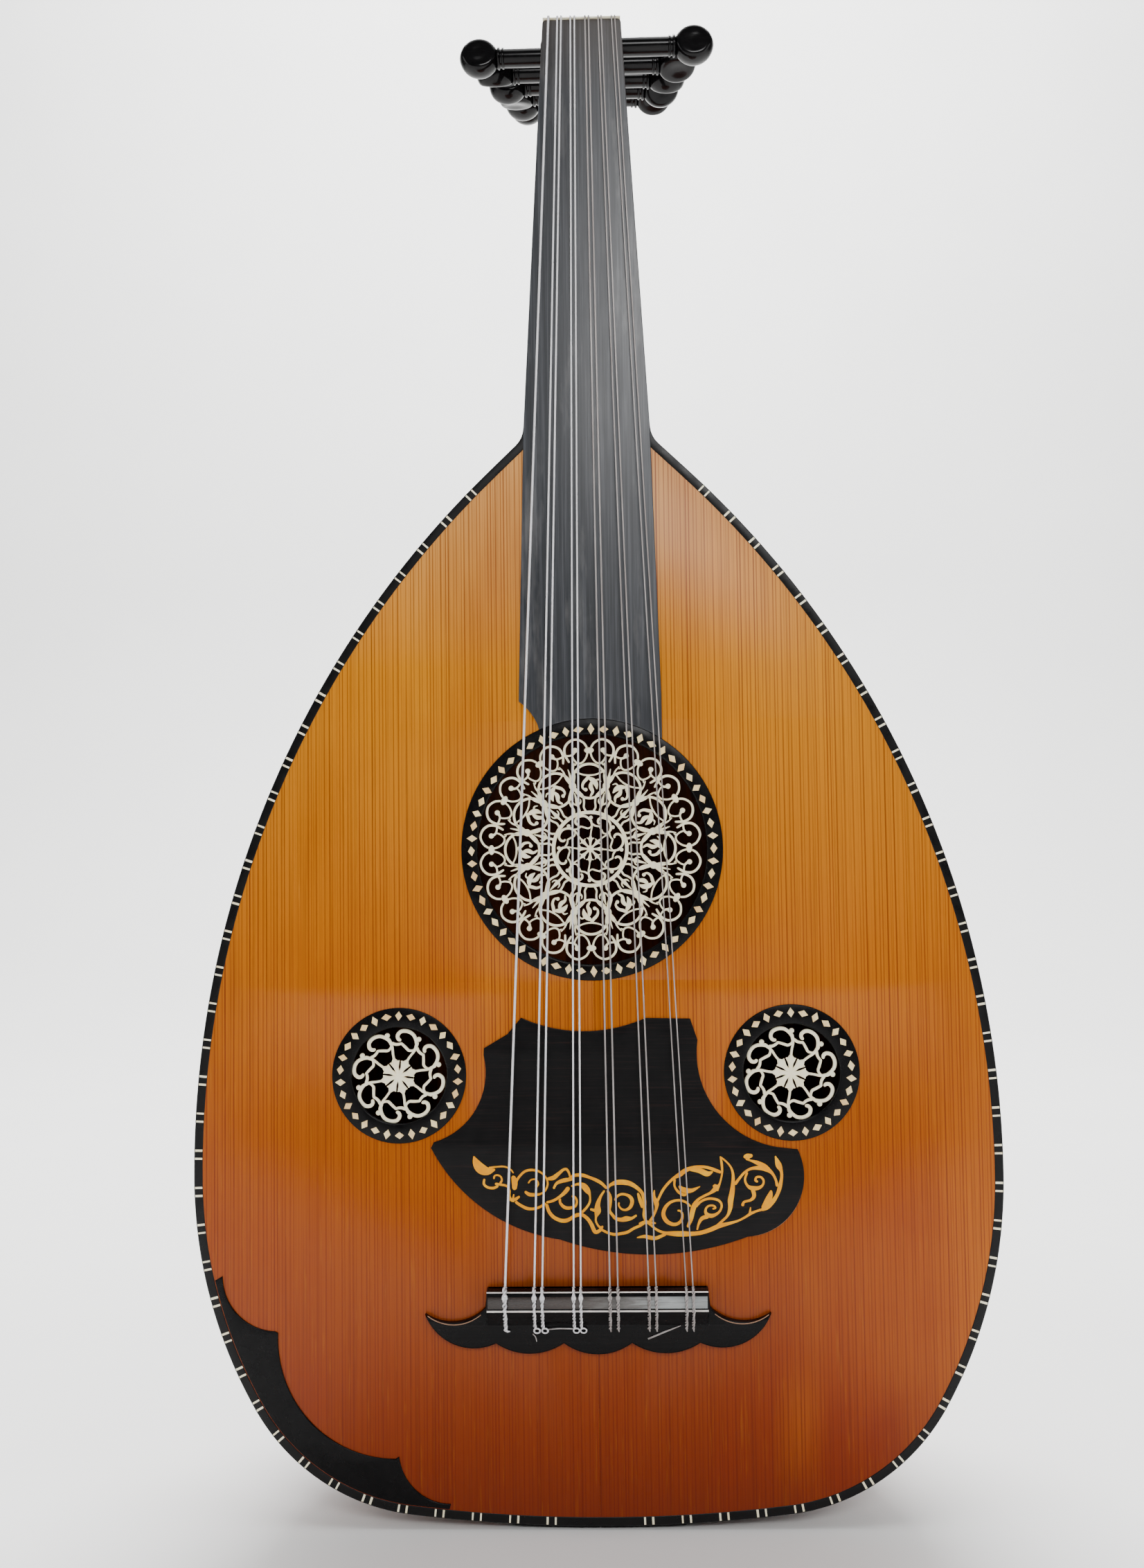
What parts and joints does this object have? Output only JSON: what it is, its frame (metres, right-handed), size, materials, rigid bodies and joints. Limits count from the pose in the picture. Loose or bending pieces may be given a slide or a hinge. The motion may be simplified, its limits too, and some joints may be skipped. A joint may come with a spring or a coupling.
{
  "type": "oud",
  "caption": "Pear-shaped lute with a ribbed bowl back, three carved rosettes, short fretless neck, bent-back pegbox and paired strings.",
  "frame": {"origin": "tail end of the centre line, on the plane where the soundboard meets the bowl; a stand's cradle carries the instrument here", "axes": "+Z from the tail up the neck, -Y out of the face of the soundboard, +Y into the bowl, +X to the right as seen from the front"},
  "size_m": [0.3696, 0.1976, 0.7469],
  "materials": {
    "soundboard": "gloss varnish over straight-grained spruce",
    "spruce": "bare wood",
    "rosewood_ribs": "gloss varnish",
    "neck_wood": "satin",
    "fingerboard": "satin, worn in streaks",
    "bone": "satin",
    "cream_inlay": "satin",
    "ebony": "satin",
    "peg_black": "gloss",
    "dark_wood": "satin, grain across",
    "yellow_inlay": "satin",
    "black_plate": "gloss",
    "wound_string": "wound, bright",
    "nylon_string": "clear"
  },
  "bodies": {
    "body": {"soundboard_left": "soundboard", "soundboard_right": "soundboard", "soundboard_braces": "spruce", "rib_01": "rosewood_ribs", "rib_02": "rosewood_ribs", "rib_03": "rosewood_ribs", "rib_04": "rosewood_ribs", "rib_05": "rosewood_ribs", "rib_06": "rosewood_ribs", "rib_07": "rosewood_ribs", "rib_08": "rosewood_ribs", "rib_09": "rosewood_ribs", "rib_10": "rosewood_ribs", "rib_11": "rosewood_ribs", "rib_12": "rosewood_ribs", "rib_13": "rosewood_ribs", "rib_14": "rosewood_ribs", "rib_15": "rosewood_ribs", "neck_block": "spruce", "tail_block": "spruce", "end_clasp": "ebony", "neck": "neck_wood", "fingerboard": "fingerboard", "nut": "bone", "pegbox_cheek_left": "neck_wood", "pegbox_cheek_right": "neck_wood", "pegbox_back": "neck_wood", "pegbox_end": "neck_wood", "bridge": "ebony", "bridge_caps": "bone", "pickguard": "dark_wood", "pickguard_inlay": "yellow_inlay", "edge_binding": "ebony", "binding_ticks": "bone", "corner_guard": "black_plate", "main_rose_ring": "ebony", "main_rose_diamonds": "cream_inlay", "main_rose_tracery": "bone", "small_rose_ring_left": "ebony", "small_rose_ring_right": "ebony", "small_rose_diamonds": "cream_inlay", "small_rose_tracery_left": "bone", "small_rose_tracery_right": "bone", "string_course_1": "wound_string", "string_course_2": "wound_string", "string_course_3": "wound_string", "string_course_4": "nylon_string", "string_course_5": "nylon_string", "string_course_6": "nylon_string"},
    "peg_01_body": {"peg_01": "peg_black"},
    "peg_02_body": {"peg_02": "peg_black"},
    "peg_03_body": {"peg_03": "peg_black"},
    "peg_04_body": {"peg_04": "peg_black"},
    "peg_05_body": {"peg_05": "peg_black"},
    "peg_06_body": {"peg_06": "peg_black"},
    "peg_07_body": {"peg_07": "peg_black"},
    "peg_08_body": {"peg_08": "peg_black"},
    "peg_09_body": {"peg_09": "peg_black"},
    "peg_10_body": {"peg_10": "peg_black"},
    "peg_11_body": {"peg_11": "peg_black"}
  },
  "joints": [
    {"name": "peg_01_turn", "type": "hinge", "parent": "body", "child": "peg_01_body", "pos_m": [0, 0.02528, 0.69571], "axis": [-1, 0, 0], "continuous": true},
    {"name": "peg_02_turn", "type": "hinge", "parent": "body", "child": "peg_02_body", "pos_m": [0, 0.01491, 0.69405], "axis": [1, 0, 0], "continuous": true},
    {"name": "peg_03_turn", "type": "hinge", "parent": "body", "child": "peg_03_body", "pos_m": [0, 0.04884, 0.70028], "axis": [-1, 0, 0], "continuous": true},
    {"name": "peg_04_turn", "type": "hinge", "parent": "body", "child": "peg_04_body", "pos_m": [0, 0.03856, 0.69815], "axis": [1, 0, 0], "continuous": true},
    {"name": "peg_05_turn", "type": "hinge", "parent": "body", "child": "peg_05_body", "pos_m": [0, 0.07216, 0.70594], "axis": [-1, 0, 0], "continuous": true},
    {"name": "peg_06_turn", "type": "hinge", "parent": "body", "child": "peg_06_body", "pos_m": [0, 0.06199, 0.70333], "axis": [1, 0, 0], "continuous": true},
    {"name": "peg_07_turn", "type": "hinge", "parent": "body", "child": "peg_07_body", "pos_m": [0, 0.09519, 0.71267], "axis": [-1, 0, 0], "continuous": true},
    {"name": "peg_08_turn", "type": "hinge", "parent": "body", "child": "peg_08_body", "pos_m": [0, 0.08515, 0.7096], "axis": [1, 0, 0], "continuous": true},
    {"name": "peg_09_turn", "type": "hinge", "parent": "body", "child": "peg_09_body", "pos_m": [0, 0.11789, 0.72047], "axis": [-1, 0, 0], "continuous": true},
    {"name": "peg_10_turn", "type": "hinge", "parent": "body", "child": "peg_10_body", "pos_m": [0, 0.10801, 0.71693], "axis": [1, 0, 0], "continuous": true},
    {"name": "peg_11_turn", "type": "hinge", "parent": "body", "child": "peg_11_body", "pos_m": [0, 0.1402, 0.7293], "axis": [-1, 0, 0], "continuous": true}
  ]
}
